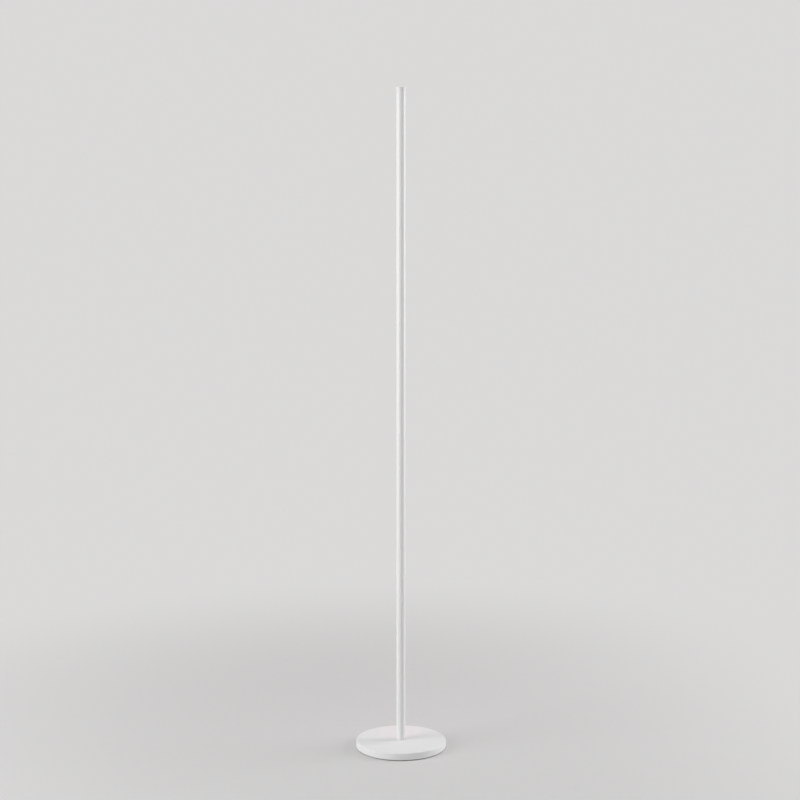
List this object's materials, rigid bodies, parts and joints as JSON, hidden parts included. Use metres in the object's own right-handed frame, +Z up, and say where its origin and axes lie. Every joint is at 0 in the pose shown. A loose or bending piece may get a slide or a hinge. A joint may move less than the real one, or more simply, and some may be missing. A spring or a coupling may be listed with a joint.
{
  "type": "floor lamp",
  "caption": "Slim round white pole on a weighted disc base, with a rear-facing light channel that washes a corner with colour",
  "frame": {"origin": "on the floor, at the pole's axis", "axes": "+Z up along the pole; +Y towards the wall, the way the light channel and the rear ports face; +X to the right seen from the room"},
  "size_m": [0.2, 0.2, 1.46],
  "materials": {
    "pole": "satin",
    "pole_cap": "satin",
    "diffuser": "matte",
    "splice": "satin",
    "steel_screw": "satin",
    "tape": "satin",
    "emitter": "gloss",
    "chip": "matte",
    "foot_casting": "satin",
    "cover": "satin",
    "port_panel": "satin",
    "weight": "matte",
    "plate": "satin",
    "foot_rubber": "matte",
    "jack_body": "satin",
    "jack_pin": "polished",
    "button": "satin",
    "switch_body": "satin",
    "board": "satin",
    "capacitor": "satin",
    "coil": "matte",
    "connector": "satin",
    "wire": "satin"
  },
  "bodies": {
    "lamp": {"lower_tube": "pole", "middle_tube": "pole", "upper_tube": "pole", "top_cap": "pole_cap", "diffuser": "diffuser", "lower_splice": "splice", "upper_splice": "splice", "foot_port_screws": "steel_screw", "flange_bolts": "steel_screw", "weight_screws": "steel_screw", "bottom_plate_screws": "steel_screw", "board_screws": "steel_screw", "splice_screws": "steel_screw", "led_tape": "tape", "led_emitters": "emitter", "tape_control_chips": "chip", "board_chips": "chip", "pole_foot": "foot_casting", "base_cover": "cover", "port_panel": "port_panel", "counterweight": "weight", "bottom_plate": "plate", "rubber_feet": "foot_rubber", "dc_jack": "jack_body", "dc_jack_pin": "jack_pin", "tact_switch": "switch_body", "control_board": "board", "radio_module": "board", "board_capacitors": "capacitor", "board_coil": "coil", "board_header": "connector", "lead_plug": "connector", "tape_lead": "wire"},
    "button": {"power_button": "button", "switch_plunger": "switch_body"}
  },
  "joints": [
    {"name": "power_button_press", "type": "slide", "parent": "lamp", "child": "button", "axis": [0, -1, 0], "range_m": [0, 0.0005], "stiffness_N_per_m": 1500}
  ]
}
